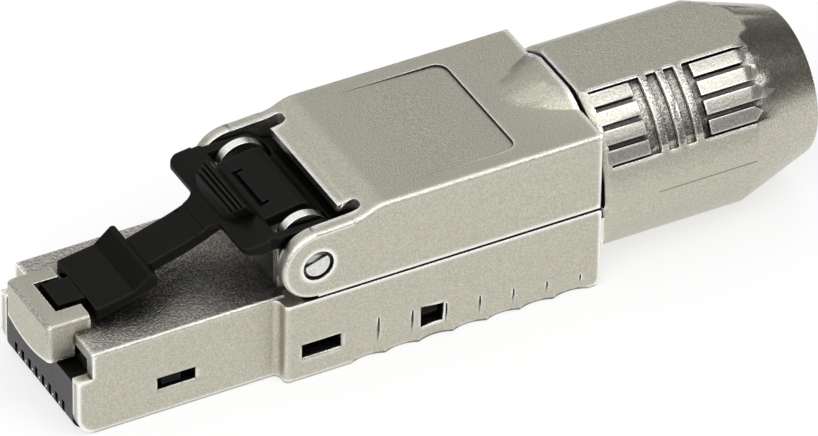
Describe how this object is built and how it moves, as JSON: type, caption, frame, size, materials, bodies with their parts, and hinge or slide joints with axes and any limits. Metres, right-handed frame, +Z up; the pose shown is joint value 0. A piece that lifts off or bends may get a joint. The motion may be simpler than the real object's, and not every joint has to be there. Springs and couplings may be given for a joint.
{
  "type": "field termination ethernet plug",
  "caption": "Shielded modular network plug that is wired by hand: metal housing with a hinged lid, plastic latch, contact blades, wire forks and a slide-on strain relief sleeve.",
  "frame": {"origin": "on the front plane of the nose, at the middle of its flat contact side, which is the side the plug rests on", "axes": "+X from the nose to the cable end, +Y across the plug, +Z up from the contact side to the latch side"},
  "size_m": [0.0583, 0.0146, 0.0135],
  "materials": {
    "nickel_plated_zinc": "satin nickel plate on a zinc die casting",
    "pin_steel": "bright steel",
    "black_plastic": "matte moulded",
    "dark_plastic": "matte moulded",
    "card_laminate": "coated laminate",
    "gold_plate": "gold plate on bronze"
  },
  "bodies": {
    "housing_group": {"lower_housing": "nickel_plated_zinc", "hinge_pin_near": "pin_steel", "hinge_pin_far": "pin_steel", "cable_collet": "dark_plastic", "contact_carrier": "dark_plastic", "screen_strip": "pin_steel", "circuit_card": "card_laminate", "terminal_block": "dark_plastic", "contact_1": "gold_plate", "contact_2": "gold_plate", "contact_3": "gold_plate", "contact_4": "gold_plate", "contact_5": "gold_plate", "contact_6": "gold_plate", "contact_7": "gold_plate", "contact_8": "gold_plate", "terminal_fork_1": "gold_plate", "terminal_fork_2": "gold_plate", "terminal_fork_3": "gold_plate", "terminal_fork_4": "gold_plate", "terminal_fork_5": "gold_plate", "terminal_fork_6": "gold_plate", "terminal_fork_7": "gold_plate", "terminal_fork_8": "gold_plate"},
    "lid_group": {"lid": "nickel_plated_zinc", "wire_presser": "dark_plastic"},
    "latch_group": {"latch": "black_plastic"},
    "sleeve_group": {"strain_relief_sleeve": "nickel_plated_zinc"}
  },
  "joints": [
    {"name": "lid_hinge", "type": "hinge", "parent": "housing_group", "child": "lid_group", "pos_m": [0.01755, 0, 0.00925], "axis": [0, -1, 0], "range_deg": [0, 75]},
    {"name": "latch_press", "type": "hinge", "parent": "housing_group", "child": "latch_group", "pos_m": [0.0013, 0, 0.0072], "axis": [0, 1, 0], "range_deg": [0, 3.4], "stiffness_Nm_per_rad": 0.3, "springref_deg": -0.57},
    {"name": "sleeve_slide", "type": "slide", "parent": "housing_group", "child": "sleeve_group", "axis": [1, 0, 0], "range_m": [0, 0.006]}
  ]
}
